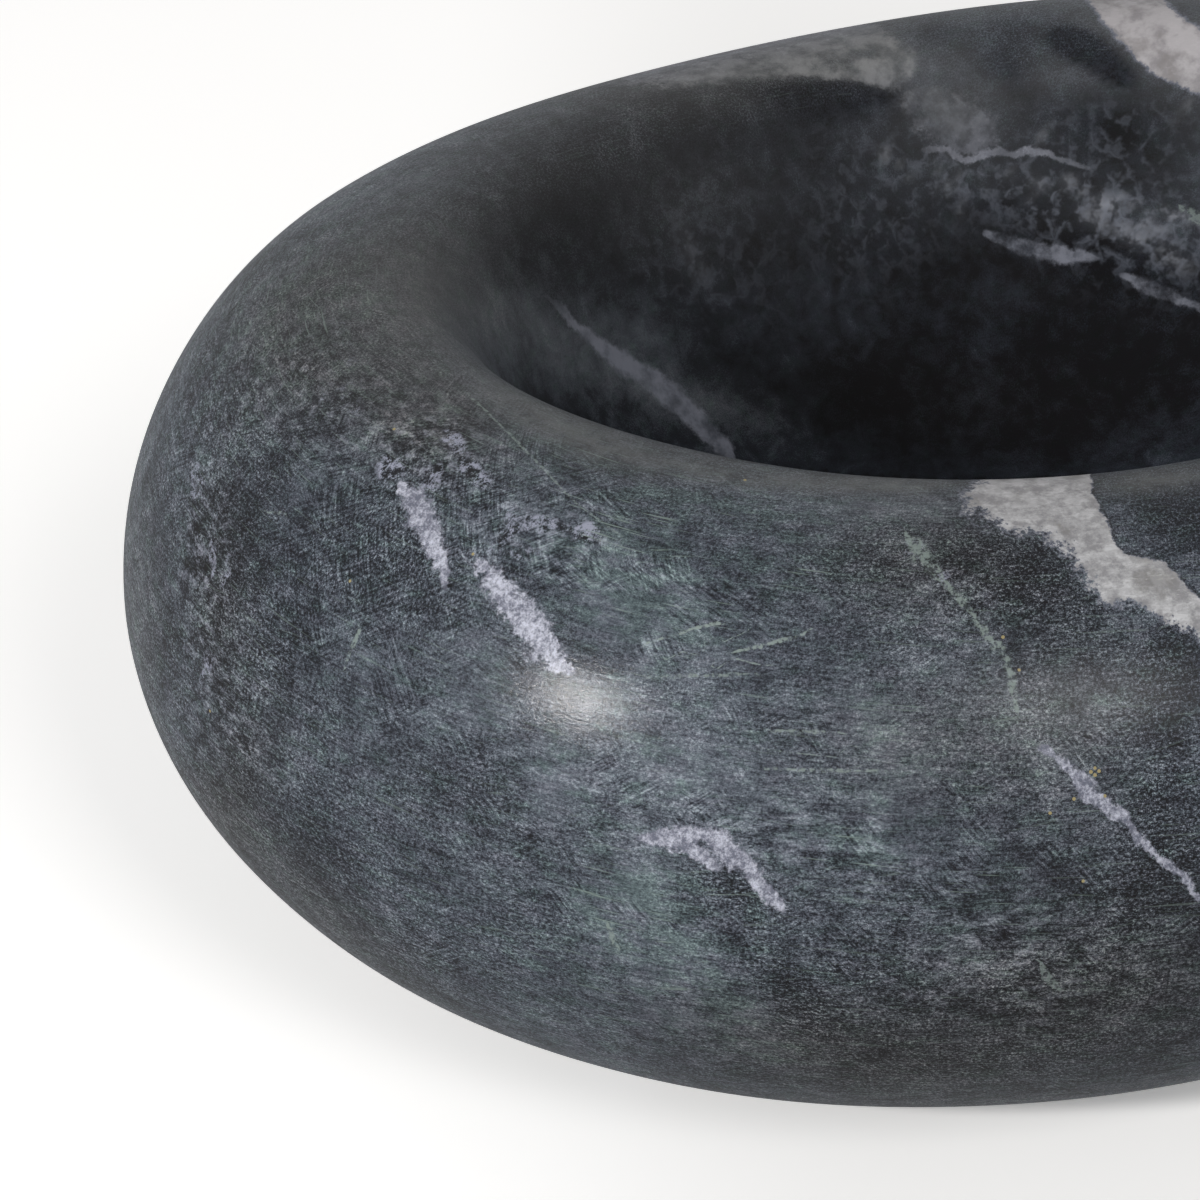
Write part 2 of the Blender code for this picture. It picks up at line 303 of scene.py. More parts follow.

# Soft patches on the stone's ground, some of them painted shade, light and sheen, in pixels of the photograph:
# (x, y, half length, half height, strength), and the tilt in degrees, down to the right, of those that aren't
# level
SEEN_PATCHES = {
    # Crusts of pale crystals
    "pale": [
        (390, 468, 15, 15, 0.9), (454, 440, 20, 9, 0.9, 55), (470, 470, 15, 10, 0.9, 20),
        (485, 484, 9, 7, 0.8), (436, 470, 12, 10, 0.6), (430, 486, 9, 7, 0.8), (505, 532, 8, 16, 0.9, 20),
        (545, 524, 26, 10, 0.9, 8), (588, 534, 20, 12, 0.8), (525, 552, 18, 8, 0.7),
        (196, 482, 7, 20, 0.6, 8), (206, 664, 7, 20, 0.6, 15), (212, 560, 5, 26, 0.6),
        (228, 578, 4, 22, 0.6), (350, 395, 40, 24, 0.3, -20), (342, 335, 12, 26, 0.3, -15),
        (782, 811, 12, 8, 0.55, 20), (762, 848, 6, 4, 0.6), (775, 862, 6, 5, 0.6), (915, 550, 9, 14, 0.4),
        (944, 584, 12, 12, 0.35), (1010, 672, 10, 20, 0.35), (700, 850, 46, 16, 0.2, 5),
        (846, 492, 18, 8, 0.3),
    ],
    # Darker ground or, below 0, lighter. The large dark ones in the hollow are painted shade, and the lighter
    # ones round the highlight and on the inner wall by the left lip are painted light
    "dark": [
        (1080, 46, 24, 13, 3.0, 22), (1106, 63, 25, 11, 3.0, 36), (1010, 78, 34, 20, 0.5, 40),
        (1015, 36, 50, 36, 0.7), (935, 30, 34, 24, 0.5), (825, 92, 70, 10, 0.7, 3),
        (985, 560, 78, 26, 0.8, 5), (1040, 600, 80, 18, 0.5, 5), (1005, 572, 56, 30, 0.7, 10),
        (1095, 640, 60, 26, 0.4, 20), (890, 505, 80, 18, -0.6), (770, 500, 60, 20, -0.2),
        (1185, 520, 60, 34, 0.7, 20), (415, 452, 12, 20, 0.6), (380, 490, 24, 10, 0.5),
        (432, 477, 12, 8, 0.5), (470, 505, 30, 12, 0.35), (503, 568, 20, 9, 0.6, 20),
        (440, 615, 60, 14, 0.35, 5), (185, 800, 20, 90, 0.6, -22), (160, 640, 16, 50, 0.4),
        (732, 884, 34, 18, 0.55, 30), (786, 990, 110, 20, 0.6, 48), (850, 1010, 80, 46, 0.15, 30),
        (696, 965, 110, 30, -0.35, 48), (600, 930, 90, 34, -0.25, 48), (1010, 1062, 150, 24, 0.6, -5),
        (1165, 800, 46, 40, 0.6), (1110, 900, 110, 50, 0.5), (1040, 1000, 170, 40, 0.4, -8),
        (660, 1010, 70, 30, -0.3, 10), (870, 575, 60, 20, 0.35), (280, 660, 26, 40, 0.3),
        (1000, 410, 260, 70, 1.0), (760, 300, 130, 110, 0.4), (560, 200, 140, 70, 0.6, -25),
        (930, 300, 90, 80, 0.45), (1130, 350, 90, 40, 0.9), (740, 130, 150, 46, 0.6),
        (235, 520, 54, 110, 0.45), (240, 700, 54, 120, 0.4), (310, 870, 70, 60, 0.4, 45),
        (410, 965, 70, 34, 0.35, 30), (1120, 150, 120, 70, 0.5), (840, 100, 80, 24, 0.7),
        (840, 190, 90, 70, 0.3), (1090, 275, 130, 30, 1.0, 5), (1120, 320, 130, 40, 0.7),
        (1000, 205, 60, 18, 0.4), (700, 640, 130, 70, -0.35), (880, 740, 150, 60, -0.35),
        (660, 770, 90, 50, -0.3), (490, 318, 84, 40, -0.8, 25), (560, 350, 90, 34, -0.6, 25),
        (690, 402, 80, 22, -1.0, 16), (640, 330, 60, 30, -0.5, 10), (745, 400, 80, 40, -0.4),
        (1085, 248, 100, 22, 0.6, 10), (1100, 120, 80, 34, 0.4, 10), (405, 560, 34, 30, 0.5),
        (485, 712, 40, 34, -0.4), (560, 785, 44, 40, -0.4), (640, 880, 50, 50, -0.35),
        (860, 830, 120, 52, -0.4, 5), (700, 775, 60, 30, -0.2), (1165, 705, 36, 40, 0.7),
        (1165, 850, 36, 30, 0.6), (1175, 655, 30, 20, 0.7, 20), (600, 350, 60, 30, -0.4),
        (530, 526, 60, 26, -0.6, 10), (620, 590, 60, 40, -0.5, 10), (290, 560, 90, 130, 0.3),
    ],
    # Greener ground with clearer scratches
    "green": [
        (640, 590, 95, 36, 0.8, 12), (620, 535, 60, 30, 0.5), (700, 500, 90, 22, 0.6),
        (560, 445, 70, 34, 0.5, 10), (660, 900, 60, 40, 0.6), (850, 850, 56, 30, 0.6, -10),
        (700, 965, 110, 34, 0.5, 48), (330, 300, 60, 60, 0.4), (1000, 900, 60, 30, 0.4),
        (800, 560, 60, 26, 0.6), (580, 950, 70, 60, 0.4), (1150, 130, 80, 60, 0.4), (960, 130, 40, 40, 0.5),
        (250, 360, 40, 70, 0.3, 20), (340, 480, 50, 30, 0.3),
    ],
    # Rough ground and, in the hollow, a white netting
    "net": [
        (1070, 196, 70, 34, 0.7, 20), (950, 170, 60, 22, 0.8, 15), (1150, 236, 60, 34, 0.35, 12),
        (1110, 130, 60, 40, 0.3), (910, 100, 36, 20, 0.5, 40), (870, 180, 50, 60, 0.25),
        (700, 240, 60, 60, 0.12), (432, 452, 55, 42, 1.0, 30), (548, 538, 60, 30, 0.8),
        (205, 560, 24, 110, 0.8), (240, 700, 40, 90, 0.4, 20), (330, 430, 50, 40, 0.4),
        (290, 365, 90, 46, 0.35, -25), (960, 600, 60, 40, 0.4), (820, 850, 160, 40, 0.4, 15),
        (1000, 960, 160, 60, 0.4),
    ],
    # Browner ground
    "warm": [
        (1056, 524, 24, 8, 0.8, 40), (1082, 545, 18, 7, 0.5, 60), (600, 190, 200, 90, 1.0, -20),
        (880, 400, 320, 60, 0.8), (380, 290, 120, 60, 0.6, -20), (140, 620, 30, 140, 0.5),
        (300, 890, 180, 34, 0.7, 42), (1070, 720, 80, 120, 0.4), (740, 70, 130, 40, 1.0, -8),
        (320, 340, 100, 90, 0.9, -30), (430, 400, 90, 40, 0.8, 30), (1080, 1000, 220, 90, 1.0, -10),
        (940, 560, 110, 60, 0.8), (930, 740, 110, 70, 0.5), (820, 1050, 160, 46, 0.8, 10),
        (420, 430, 50, 40, 0.6), (220, 600, 30, 120, 0.6), (240, 780, 40, 80, 0.5, 20),
    ],
    # A smooth grey veil: painted sheen near the lip and on the far rim, and paler marks in the hollow
    "veil": [
        (520, 408, 50, 16, 0.5, 30), (590, 440, 60, 18, 0.6, 22), (690, 466, 70, 12, 0.5, 10),
        (800, 482, 80, 10, 0.5, 3), (900, 484, 60, 11, 0.6), (1160, 480, 60, 11, 0.65, -6),
        (960, 126, 24, 16, 0.5, 30), (935, 104, 22, 12, 0.3, 40), (742, 71, 16, 5, 0.5, -6),
        (690, 78, 24, 6, 0.3, -10), (880, 40, 16, 10, 0.3, 20), (902, 58, 12, 10, 0.3, 30),
        (1106, 204, 12, 8, 0.9, 20), (1095, 219, 16, 7, 0.6, 30), (1069, 182, 9, 6, 0.6),
        (1039, 184, 9, 6, 0.5, 20), (1028, 197, 6, 4, 0.35), (1124, 228, 10, 6, 0.5),
        (1136, 240, 12, 7, 0.55), (1144, 224, 9, 6, 0.5), (1160, 232, 10, 6, 0.45), (1166, 253, 12, 6, 0.4),
        (1180, 264, 14, 6, 0.4, 10), (1122, 196, 6, 4, 0.4), (1134, 206, 7, 5, 0.4), (1082, 192, 6, 4, 0.4),
        (1010, 174, 6, 4, 0.3), (957, 172, 6, 4, 0.35), (935, 168, 6, 4, 0.35, 10), (948, 186, 9, 6, 0.35),
        (912, 178, 6, 5, 0.3), (885, 154, 5, 7, 0.8), (900, 164, 4, 3, 0.5), (985, 188, 5, 4, 0.25),
        (1042, 136, 4, 12, 0.45, 30), (1175, 216, 22, 4, 0.7, 14), (1186, 106, 4, 14, 0.4, 40),
        (962, 210, 5, 14, 0.2, 10), (690, 250, 10, 40, 0.15, -25),
    ],
}
UPWARD_HONING = [
    (450, 500, 120, 80, 1.2, 20), (400, 620, 90, 70, 0.8), (330, 560, 50, 60, 0.7), (640, 560, 60, 26, 0.7),
    (1020, 880, 50, 40, 0.6),
]
PATCH_SPREAD_MM = 0.4   # how much farther than a vein a patch is carried, for each pixel of its size

# Patches out of sight are drawn at random: their kinds in turn, their number, their levels, half lengths and
# strengths, the smaller size of pale ones, and how far they are stretched in one direction
UNSEEN_PATCH_KINDS = 3
UNSEEN_PATCH_COUNT = 260
UNSEEN_PATCH_LEVELS = (-0.9, 3.9)
UNSEEN_PATCH_MM = (4, 16)
UNSEEN_PATCH_STRENGTH = (0.3, 0.8)
UNSEEN_PALE_SIZE = 0.4
UNSEEN_STRETCH = 0.7
UNSEEN_SEED = 5
UNSEEN_START_MM, UNSEEN_FADE_MM = 2, 9   # how far past the seen surface they begin, and the fade there

# The smoother band round the crest, also a painted sheen that is stronger away from the camera: half its
# width, how far inside, and its strength on the camera's side
RIM_BAND, RIM_BAND_SHIFT, RIM_NEAR_SHARE = 0.014, 0.006, 0.25

# Tiny grains of pyrite, in pixels
PYRITE = [
    (1091, 772), (1095, 775), (1099, 771), (1095, 768), (1105, 796), (1074, 799), (1050, 813), (1019, 670),
    (1003, 637), (473, 554), (745, 480), (394, 429), (350, 581), (1083, 881), (210, 711),
]
PYRITE_MM = 0.2


# Building the stone's mesh

def ring_levels():
    steps = (UNDERSIDE_STEPS, TUCK_STEPS, SHOULDER_STEPS, LIP_STEPS, DISH_STEPS)
    levels = [start + np.arange(count) / count for start, count in enumerate(steps, start=-1)]
    return np.concatenate(levels + [[4]])


def section_run(levels):
    """How far along the section each level lies from the edge of the underside, in millimetres."""
    fine = np.linspace(-1, 4, 2001)
    run = np.cumsum(np.linalg.norm(np.diff(skin(45, fine), axis=0), axis=1)) * 1000
    run = np.concatenate([[0], run])
    return np.interp(levels, fine, run) - np.interp(0, fine, run)


def bake_places(sides, levels):
    """Where corners lie on the flat layout for baked maps, from 0 to 1: the outer wall as two strips, and over
    them the hollow and the underside as discs. Each row of sides and levels holds the corners of one face."""
    run = section_run(levels)
    underside, wall, whole = -section_run(-1), section_run(2), section_run(4)
    hollow = whole - wall
    width = 2 * (hollow + underside) + 3 * BAKE_GAP_MM
    height = 2 * (wall + hollow) + 4 * BAKE_GAP_MM
    face_level = levels.mean(axis=1, keepdims=True)
    second = sides.min(axis=1, keepdims=True) >= SIDES / 2
    share = (sides - second * SIDES / 2) / (SIDES / 2)
    across = BAKE_GAP_MM + share * (width - 2 * BAKE_GAP_MM)
    up = BAKE_GAP_MM + second * (wall + BAKE_GAP_MM) + run
    turn = 2 * np.pi * sides / SIDES
    for chosen, centre, reach in (
        (face_level > 2, BAKE_GAP_MM + hollow, whole - run),
        (face_level < 0, 2 * BAKE_GAP_MM + 2 * hollow + underside, run + underside),
    ):
        across = np.where(chosen, centre + reach * np.cos(turn), across)
        up = np.where(chosen, height - BAKE_GAP_MM - hollow + reach * np.sin(turn), up)
    return np.stack([(across / width).ravel(), (up / height).ravel()], 1)


def undulate(points, normals, fade):
    """Takes the surface in by up to WAVE_DEPTH, as a shape honed by hand wanders."""
    depth = np.array([noise.noise(Vector(p) / WAVE_LENGTH) for p in points])
    depth = WAVE_DEPTH * fade * np.clip(0.5 + 0.8 * depth, 0, 1)
    return points - normals * depth[:, None]


def stone_faces(levels):
    """The faces between the rings, and those round the centres of the underside and of the dish. Gives their
    vertices, and for each of the three kinds the sides and the levels of its corners."""
    rows = len(levels)
    row, side = np.divmod(np.arange((rows - 1) * SIDES), SIDES)
    quad_side = np.stack([side, side + 1, side + 1, side], 1)
    quad_row = np.stack([row, row, row + 1, row + 1], 1)
    quads = quad_row * SIDES + quad_side % SIDES
    side = np.arange(SIDES)
    following = (side + 1) % SIDES
    centres, last_ring = side * 0 + rows * SIDES, (rows - 1) * SIDES
    low = np.stack([centres, following, side], 1)
    high = np.stack([centres + 1, last_ring + side, last_ring + following], 1)
    faces = quads.tolist() + low.tolist() + high.tolist()
    return faces, (
        (quad_side, levels[quad_row]),
        (np.stack([side, side + 1, side], 1), np.tile([-1, levels[0], levels[0]], (SIDES, 1))),
        (np.stack([side, side, side + 1], 1), np.tile([4, levels[-1], levels[-1]], (SIDES, 1))),
    )


def build_stone():
    """The stone as rings of SIDES vertices and the two centres. Also gives the vertices, their normals and
    how far up the section each one lies, in metres."""
    levels = ring_levels()[1:-1]
    heading, level = np.meshgrid(np.arange(SIDES) * 360 / SIDES, levels)
    normals = skin_normal(heading, level).reshape(-1, 3)
    points = undulate(skin(heading, level).reshape(-1, 3), normals, np.clip(2 * level.ravel(), 0, 1))
    points = np.concatenate([points, [skin(0, -1), skin(0, 4)]])
    normals = np.concatenate([normals, [[0, 0, -1], [0, 0, 1]]])
    run = section_run(np.concatenate([level.ravel(), [-1, 4]])) / 1000
    faces, corners = stone_faces(levels)
    mesh = bpy.data.meshes.new("stone")
    mesh.from_pydata(points.tolist(), [], faces)
    mesh.polygons.foreach_set("use_smooth", np.ones(len(mesh.polygons), bool))
    places = [bake_places(sides, corner_levels) for sides, corner_levels in corners]
    layer = mesh.uv_layers.new(name="OFBake")
    layer.data.foreach_set("uv", np.concatenate(places).ravel())
    mesh.update()
    return mesh, points, normals, run


# Reading the veins and patches onto the mesh

def smooth_path(path, spacing):
    """The path's points joined by a smooth curve, with a point at every spacing or closer. The first two or
    three columns are the place, and the last is the half width."""
    path = np.asarray(path, float)
    padded = np.concatenate([2 * path[:1] - path[1:2], path, 2 * path[-1:] - path[-2:-1]])
    pieces = []
    for a, b, c, d in zip(padded, padded[1:], padded[2:], padded[3:]):
        count = max(2, int(np.ceil(np.linalg.norm((c - b)[:-1]) / spacing)))
        t = (np.arange(count) / count)[:, None]
        pieces.append(b + 0.5 * t * (c - a + t * (2 * a - 5 * b + 4 * c - d + t * (3 * (b - c) + d - a))))
    curve = np.concatenate(pieces + [path[-1:]])
    curve[:, -1] = np.maximum(curve[:, -1], 0)
    return curve


def nearest(points, curve):
    """For each point, the distance to the nearest segment of the curve, its number and the share along it."""
    best = np.full(len(points), np.inf)
    which, along = np.zeros(len(points), int), np.zeros(len(points))
    for number, (start, end) in enumerate(zip(curve, curve[1:])):
        step = end - start
        share = np.clip((points - start) @ step / max(step @ step, 1e-12), 0, 1)
        distance = np.linalg.norm(points - start - share[:, None] * step, axis=1)
        closer = distance < best
        best[closer], which[closer], along[closer] = distance[closer], number, share[closer]
    return best, which, along


def between(values, which, along):
    """The values at the starts of the numbered segments, mixed with those at their ends."""
    return values[which] * (1 - along) + values[which + 1] * along


def half_width(curve, which, along):
    """The curve's half width at the nearest places on it, and 0 past its ends."""
    past_end = ((which == 0) & (along <= 0)) | ((which == len(curve) - 2) & (along >= 1))
    return np.where(past_end, 0, between(curve[:, -1], which, along))


class Photo:
    """Carries pixels of the photograph to the stone's surface, and points back to pixels."""

    def __init__(self, camera, mesh):
        self.camera = camera
        self.eye = np.array(camera.location)
        self.axes = np.array(camera.matrix_world.to_3x3())
        self.corners = np.array([v.co for v in mesh.vertices])
        self.spots = self.pixels(self.corners)
        self.tree = BVHTree.FromPolygons(self.corners.tolist(), [p.vertices[:] for p in mesh.polygons])

    def pixels(self, points):
        seen = (points - self.eye) @ self.axes
        half = IMAGE_PIXELS / 2
        return half + FOCAL_PIXELS * np.stack([seen[:, 0] / -seen[:, 2], seen[:, 1] / seen[:, 2]], 1)

    def first_hit(self, direction):
        return self.tree.ray_cast(self.camera.location, direction)[0]

    def surface(self, pixels):
        """The points of the stone behind the pixels, or nearest to them where they lie beside it."""
        places = []
        for pixel in pixels:
            place = self.first_hit(sight_line(self.camera, pixel))
            beside = np.linalg.norm(self.spots - pixel, axis=1).argmin()
            places.append(place or self.corners[beside])
        return np.array(places)


def empty_layer(count):
    """For each vertex: half width, signed distance, softness and strength, and the distance outside a vein."""
    return np.tile([0.0, FAR_MM, 1.0, 0.0], (count, 1)), np.full(count, np.inf)


def add_vein(layer, chosen, half, distance, left, softness, strength):
    """Writes one vein on the chosen vertices where it is the nearest of its layer."""
    values, outside = layer
    gap = distance - half
    closer = gap < outside[chosen]
    target = chosen[closer]
    outside[target] = gap[closer]
    half = np.where(gap < VEIN_MARGIN_MM, half, 0)
    signed = np.where(left, distance, -distance)
    soft = np.where(left, *softness)
    values[target] = np.stack([half, signed, soft, np.full(len(half), strength)], 1)[closer]


def inside_outline(pixels, outline):
    """Whether each pixel lies inside the closed outline, by counting the sides to its right."""
    inside = np.zeros(len(pixels), bool)
    for (x0, y0), (x1, y1) in zip(outline, np.roll(outline, -1, axis=0)):
        crosses = (y0 > pixels[:, 1]) != (y1 > pixels[:, 1])
        edge = x0 + (pixels[:, 1] - y0) * (x1 - x0) / (y1 - y0 if y1 != y0 else 1)
        inside ^= crosses & (pixels[:, 0] < edge)
    return inside


def add_outlined(layer, photo, points, pixels, vein):
    """Writes one vein that has an outline: its distances are measured in from there."""
    strength, path, outline = vein
    outline = np.array(outline, float)
    closed = np.concatenate([outline, outline[:1]])
    middle = smooth_path([(*spot, 0) for spot in path], SEEN_STEP_PIXELS)
    gap = np.full(len(points), np.inf)
    for place in photo.surface(middle[:, :2]):
        gap = np.minimum(gap, np.linalg.norm(points - place, axis=1) * 1000)
    chosen = np.flatnonzero(gap < VEIN_REACH_MM)
    distance, which, along = nearest(pixels[chosen], closed[:, :2])
    inside = np.where(inside_outline(pixels[chosen], outline[:, :2]), 1, -1) * distance * PIXEL_SIZE_MM
    inside -= END_TAPER * np.maximum(gap[chosen] - END_START_MM, 0)
    soft = between(closed[:, 2], which, along)
    half = np.full(len(inside), float(OUTLINE_DEPTH_MM))
    add_vein(layer, chosen, half, np.maximum(half - inside, 0), True, (soft, soft), strength)


def add_seen(layer, photo, points, pixels, vein):
    """Writes one vein that is given as a path of pixels."""
    (*softness, strength), path = vein
    curve = smooth_path(path, SEEN_STEP_PIXELS)
    low, high = curve[:, :2].min(0) - SEEN_SEARCH_PIXELS, curve[:, :2].max(0) + SEEN_SEARCH_PIXELS
    chosen = np.flatnonzero(((pixels > low) & (pixels < high)).all(axis=1))
    distance, which, along = nearest(pixels[chosen], curve[:, :2])
    places = photo.surface(curve[:, :2])
    kept = np.linalg.norm(points[chosen] - places[which], axis=1) * 1000 < VEIN_REACH_MM
    chosen, distance, which, along = chosen[kept], distance[kept], which[kept], along[kept]
    step = curve[which + 1, :2] - curve[which, :2]
    offset = pixels[chosen] - curve[which, :2]
    left = step[:, 0] * offset[:, 1] - step[:, 1] * offset[:, 0] < 0
    half = half_width(curve, which, along) * PIXEL_SIZE_MM
    add_vein(layer, chosen, half, distance * PIXEL_SIZE_MM, left, softness, strength)


def unwrapped(path):
    """The path with points between its own, so that it follows the curved surface."""
    path = np.asarray(path, float)
    path[:, 0] = np.degrees(np.unwrap(np.radians(path[:, 0])))
    place = np.linspace(0, len(path) - 1, 6 * len(path))
    return np.stack([np.interp(place, np.arange(len(path)), column) for column in path.T], 1)


def add_unseen(layer, points_mm, normals, vein):
    """Writes one vein that is given as a path of headings and levels."""
    (*softness, strength), path = vein
    path = [(*skin(heading, level) * 1000, half) for heading, level, half in unwrapped(path)]
    curve = smooth_path(path, UNSEEN_STEP_MM)
    distance, which, along = nearest(points_mm, curve[:, :3])
    chosen = np.flatnonzero(distance < UNSEEN_SEARCH_MM)
    distance, which, along = distance[chosen], which[chosen], along[chosen]
    step = curve[which + 1, :3] - curve[which, :3]
    offset = points_mm[chosen] - curve[which, :3]
    left = np.einsum("ij,ij->i", np.cross(normals[chosen], step), offset) > 0
    add_vein(layer, chosen, half_width(curve, which, along), distance, left, softness, strength)


def vein_layers(photo, points, normals):
    """The layers of veins as values at each vertex, in millimetres."""
    pixels = photo.pixels(points)
    layers = {}
    for name in SEEN_VEINS:
        layer = empty_layer(len(points))
        for vein in OUTLINED_VEINS.get(name, []):
            add_outlined(layer, photo, points, pixels, vein)
        for vein in SEEN_VEINS[name]:
            add_seen(layer, photo, points, pixels, vein)
        for vein in UNSEEN_VEINS[name]:
            add_unseen(layer, points * 1000, normals, vein)
        layers[name] = layer[0]
    return layers


def blob(distance_squared):
    """1 at the centre of a patch, 0.37 at its edge and falling to 0 beyond."""
    return np.exp(-distance_squared)


def seen_patches(photo, points, patches):
    """The strength at each vertex of patches given in pixels of the photograph."""
    pixels = photo.pixels(points)
    total = np.zeros(len(points))
    for x, y, across, up, strength, *tilt in patches:
        place = photo.surface([(x, y)])[0]
        turn = np.radians(tilt[0] if tilt else 0)
        offset = pixels - (x, y)
        u = (offset[:, 0] * np.cos(turn) + offset[:, 1] * np.sin(turn)) / across
        v = (offset[:, 1] * np.cos(turn) - offset[:, 0] * np.sin(turn)) / up
        reach = VEIN_REACH_MM + PATCH_SPREAD_MM * max(across, up)
        near = np.linalg.norm(points - place, axis=1) * 1000 < reach
        total += strength * blob(u**2 + v**2) * near
    return total


def patch_values(photo, points):
    """How pale, dark, green and netted each vertex is."""
    kinds = ("pale", "dark", "green", "net")
    values = np.stack([seen_patches(photo, points, SEEN_PATCHES[kind]) for kind in kinds], 1)
    rng = np.random.default_rng(UNSEEN_SEED)
    unseen = unseen_share(photo, points)
    for number in range(UNSEEN_PATCH_COUNT):
        kind = number % UNSEEN_PATCH_KINDS
        heading, level = rng.uniform(0, 360), rng.uniform(*UNSEEN_PATCH_LEVELS)
        reach, strength = rng.uniform(*UNSEEN_PATCH_MM), rng.uniform(*UNSEEN_PATCH_STRENGTH)
        reach *= UNSEEN_PALE_SIZE if kind == 0 else 1
        stretch = Vector(rng.normal(size=3)).normalized()
        offset = points * 1000 - skin(heading, level) * 1000
        along = offset @ np.array(stretch)
        spread = (offset**2).sum(axis=1) - UNSEEN_STRETCH * along**2
        values[:, kind] += strength * blob(spread / reach**2) * unseen
    return np.clip(values, -1, 1)


def work_values(photo, points):
    """How far the honing runs up the wall at each vertex, how far inside the hollow it is, how strong the band
    round the crest is, whose painted sheen is stronger on the far side, and how much of the grey veil, painted
    sheen outside the hollow, lies on it."""
    heading = np.degrees(np.arctan2(points[:, 1], points[:, 0]))
    from_crest = outer_radius(heading) - CREST_INSET - np.hypot(points[:, 0], points[:, 1])
    inside = np.clip(1.5 * (from_crest / LIP_REACH - 0.25), 0, 1) * (points[:, 2] > FLOOR_HEIGHT / 2)
    upward = seen_patches(photo, points, UPWARD_HONING) * (1 - inside)
    # Painted sheen: the crest band is stronger on the side away from the camera
    far = (1 + np.cos(np.radians(heading - VIEW_HEADING))) / 2
    rim = np.exp(-(((from_crest - RIM_BAND_SHIFT) / RIM_BAND) ** 2)) * (points[:, 2] > BELLY_HEIGHT)
    rim *= RIM_NEAR_SHARE + (1 - RIM_NEAR_SHARE) * far
    veil = seen_patches(photo, points, SEEN_PATCHES["veil"])
    return np.clip(np.stack([upward, inside, rim, veil], 1), 0, 1)


def section_values(photo, points, run):
    """How far up the section each vertex lies, and how brown the ground is there."""
    warm = np.clip(seen_patches(photo, points, SEEN_PATCHES["warm"]), 0, 1)
    return np.stack([run, warm, run * 0, run * 0], 1)


def unseen_share(photo, points):
    """1 where the photograph doesn't show the stone, 0 where it does, with a soft change between the two."""
    pixels = photo.pixels(points)
    outside = np.maximum(np.maximum(-pixels, pixels - IMAGE_PIXELS).max(axis=1), 0) * PIXEL_SIZE_MM
    hidden = []
    for point in points:
        place = photo.first_hit(Vector(point) - photo.camera.location)
        hidden.append((Vector(point) - place).length * 1000 if place else 0)
    return np.clip(np.maximum(outside, np.array(hidden) - UNSEEN_START_MM) / UNSEEN_FADE_MM, 0, 1)


def store(mesh, name, values):
    attribute = mesh.attributes.new(name, "FLOAT_COLOR", "POINT")
    attribute.data.foreach_set("color", values.astype(np.float32).ravel())


# Nodes

class Value:
    """One output in a node tree. Arithmetic with it adds nodes."""

    def __init__(self, nodes, socket):
        self.nodes, self.socket = nodes, socket

    def __add__(self, other):
        return self.nodes.math("ADD", self, other)

    def __sub__(self, other):
        return self.nodes.math("SUBTRACT", self, other)

    def __rsub__(self, other):
        return self.nodes.math("SUBTRACT", other, self)

    def __mul__(self, other):
        return self.nodes.math("MULTIPLY", self, other)

    __radd__, __rmul__ = __add__, __mul__

    def ramp(self, low, high, at_low=0.0, at_high=1.0):
        """Runs smoothly from at_low to at_high while the value runs from low to high."""
        inputs = {"Value": self, "From Min": low, "From Max": high, "To Min": at_low, "To Max": at_high}
        return self.nodes.add("MapRange", inputs, interpolation_type="SMOOTHSTEP")


class Nodes:
    """Adds nodes to one tree. An input is a constant or a Value."""

    def __init__(self, tree):
        self.tree = tree
        tree.nodes.clear()

    def new(self, kind, inputs=None, **settings):
        node = self.tree.nodes.new("ShaderNode" + kind)
        for name, value in settings.items():
            setattr(node, name, value)
        for name, value in (inputs or {}).items():
            if isinstance(value, Value):
                self.tree.links.new(value.socket, node.inputs[name])
            else:
                node.inputs[name].default_value = value
        return node

    def add(self, kind, inputs=None, output=0, **settings):
        return Value(self, self.new(kind, inputs, **settings).outputs[output])

    def math(self, operation, *values):
        return self.add("Math", dict(enumerate(values)), operation=operation)

    def most(self, first, second):
        return self.math("MAXIMUM", first, second)

    def vector(self, operation, *values, output=0):
        return self.add("VectorMath", dict(enumerate(values)), output, operation=operation)

    def split(self, kind, value):
        return [Value(self, socket) for socket in self.new(kind, {0: value}).outputs]

    def stored(self, name):
        """The four values that the mesh stores under a name."""
        node = self.new("Attribute", attribute_name=name)
        first_three, fourth = (Value(self, node.outputs[part]) for part in ("Color", "Alpha"))
        return *self.split("SeparateColor", first_three), fourth

    def mix(self, share, first, second, blend_type="MIX"):
        """From the first to the second with the share. A constant colour is given in 0 to 255."""
        first, second = (srgb(end) if isinstance(end, tuple) else end for end in (first, second))
        inputs = {0: share, 6: first, 7: second}
        return self.add("Mix", inputs, 2, data_type="RGBA", blend_type=blend_type)

    def colours(self, value, stops):
        """A colour for each value, from stops of a value and a colour in 0 to 255."""
        node = self.new("ValToRGB", {0: value})
        elements = node.color_ramp.elements
        while len(elements) < len(stops):
            elements.new(0.5)
        for element, (position, colour) in zip(elements, stops):
            element.position, element.color = position, srgb(colour)
        return Value(self, node.outputs[0])

    def noise(self, where, size_mm, detail=2.0, roughness=0.5, distortion=0.0, squeeze=None, output=0):
        """Noise from 0 to 1 about 0.5. size_mm is the size of its main features."""
        inputs = {
            "Vector": self.vector("MULTIPLY", where, squeeze) if squeeze else where, "Scale": 1000 / size_mm,
            "Detail": detail, "Roughness": roughness, "Distortion": distortion,
        }
        return self.add("TexNoise", inputs, output)

    def bump(self, height, distance):
        return self.add("Bump", {"Strength": 1.0, "Distance": distance, "Height": height})

    def seen_directly(self, unseen, seen):
        """A shader for what the camera sees, also in gloss and through glass, and one for what lights it."""
        kinds = ("Is Camera Ray", "Is Glossy Ray", "Is Transmission Ray")
        camera, gloss, glass = (self.add("LightPath", output=kind) for kind in kinds)
        share = self.most(camera, self.most(gloss, glass))
        return self.add("MixShader", {0: share, 1: unseen, 2: seen})


